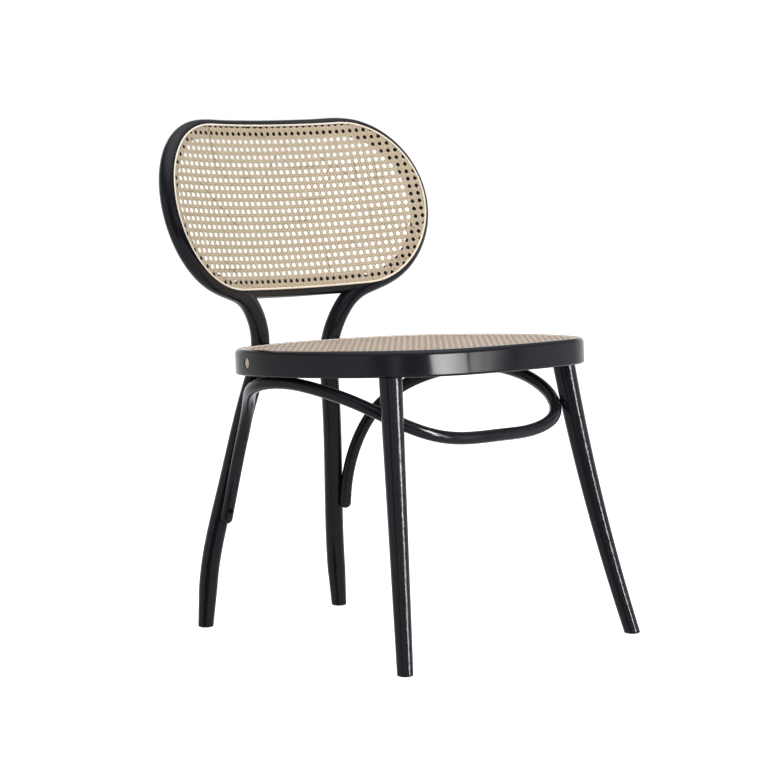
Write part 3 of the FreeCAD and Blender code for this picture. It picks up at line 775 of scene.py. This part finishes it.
def makeFloor(half=30.0):
    # A white floor, lit so evenly that it meets the backdrop without a line.
    mesh = bpy.data.meshes.new("studioFloor")
    corners = [(-half, -half, 0), (half, -half, 0), (half, half, 0), (-half, half, 0)]
    mesh.from_pydata(corners, [], [(0, 1, 2, 3)])
    floor = bpy.data.objects.new("studioFloor", mesh)
    scene.collection.objects.link(floor)
    material, tree, shader = newMaterial("paleFloor", Roughness=0.9, Specular_IOR_Level=0.0)
    shader.inputs["Base Color"].default_value = (0.6, 0.6, 0.6, 1)
    shader.inputs["Emission Color"].default_value = (1, 1, 1, 1)
    shader.inputs["Emission Strength"].default_value = 0.95
    mesh.materials.append(material)
    floor.visible_glossy = False
    floor.visible_diffuse = False


studioGlow = {
    "seen": 1.0,
    "fill": 0.36,
    "wallAhead": 0.42,         # this and the rest are only mirrored
    "wallBehind": 1.0,
    "wallTurn": (0.35, 0.9),   # cosine from the far side of the chair, where ahead ends and behind is full
    "wallTop": 0.30,           # share of the wall's glow that is left above it
    "wallFade": (0.18, 0.42),  # sine of the elevation
    "ceiling": 0.75,
    "ceilingFade": (0.65, 0.95),
    "gap": 0.02,
    "gapAzimuth": -63,
    "gapEdge": (0.86, 0.92),   # cosine from the gap's middle
    "tint": (0.93, 0.96, 1.0),
}


def makeWorld():
    # white to the eye and an even fill; the lacquer mirrors a paler wall behind and a dark gap ahead
    world = bpy.data.worlds.new("whiteStudio")
    world.use_nodes = True
    tree = world.node_tree
    tree.nodes.remove(tree.nodes["Background"])
    place = tree.nodes.new("ShaderNodeTexCoord")

    def glow(strength, colour=(1, 1, 1, 1)):
        node = tree.nodes.new("ShaderNodeBackground")
        node.inputs["Color"].default_value = colour
        if isinstance(strength, bpy.types.NodeSocket):
            tree.links.new(strength, node.inputs["Strength"])
        else:
            node.inputs["Strength"].default_value = strength
        return node.outputs[0]

    def choose(ray, otherwise, where):
        node = tree.nodes.new("ShaderNodeMixShader")
        for index, socket in enumerate((ray, otherwise, where)):
            tree.links.new(socket, node.inputs[index])
        return node.outputs[0]

    def towards(azimuth):
        node = tree.nodes.new("ShaderNodeVectorMath")
        node.operation = "DOT_PRODUCT"
        node.inputs[1].default_value = bearing(azimuth, 1.0, 0.0)
        tree.links.new(place.outputs["Generated"], node.inputs[0])
        return node.outputs["Value"]

    def combine(operation, first, second):
        node = tree.nodes.new("ShaderNodeMath")
        node.operation = operation
        tree.links.new(first, node.inputs[0])
        tree.links.new(second, node.inputs[1])
        return node.outputs[0]

    split = tree.nodes.new("ShaderNodeSeparateXYZ")
    tree.links.new(place.outputs["Generated"], split.inputs[0])
    rise = split.outputs["Z"]
    farSide = towards(180 + photoCamera["azimuth"])
    around = remap(tree, farSide, studioGlow["wallAhead"], studioGlow["wallBehind"], *studioGlow["wallTurn"])
    fading = remap(tree, rise, 1.0, studioGlow["wallTop"], *studioGlow["wallFade"])
    lower = combine("MULTIPLY", around, fading)
    wall = combine("ADD", lower, remap(tree, rise, 0.0, studioGlow["ceiling"], *studioGlow["ceilingFade"]))
    inGap = remap(tree, towards(studioGlow["gapAzimuth"]), 0.0, 1.0, *studioGlow["gapEdge"])
    mirrored = choose(inGap, glow(wall, (*studioGlow["tint"], 1)), glow(studioGlow["gap"]))
    rays = tree.nodes.new("ShaderNodeLightPath").outputs
    unseen = choose(rays["Is Glossy Ray"], glow(studioGlow["fill"]), mirrored)
    seen = choose(rays["Is Camera Ray"], unseen, glow(studioGlow["seen"]))
    tree.links.new(seen, tree.nodes["World Output"].inputs["Surface"])
    scene.world = world


makeCamera()
makeFloor()
makeWorld()
for name in ("ringCard", "ringStrip"):
    addGlowCard(name, glowCards["ringTop"], glowCards["ringLit"])
for name in ("legCard", "legStrip"):
    addGlowCard(name, glowCards["legTop"], glowCards["legsLit"])
for name, values in softboxes.items():
    addSoftbox(name, **values)
scene.view_settings.view_transform = "Standard"
print("studio made")
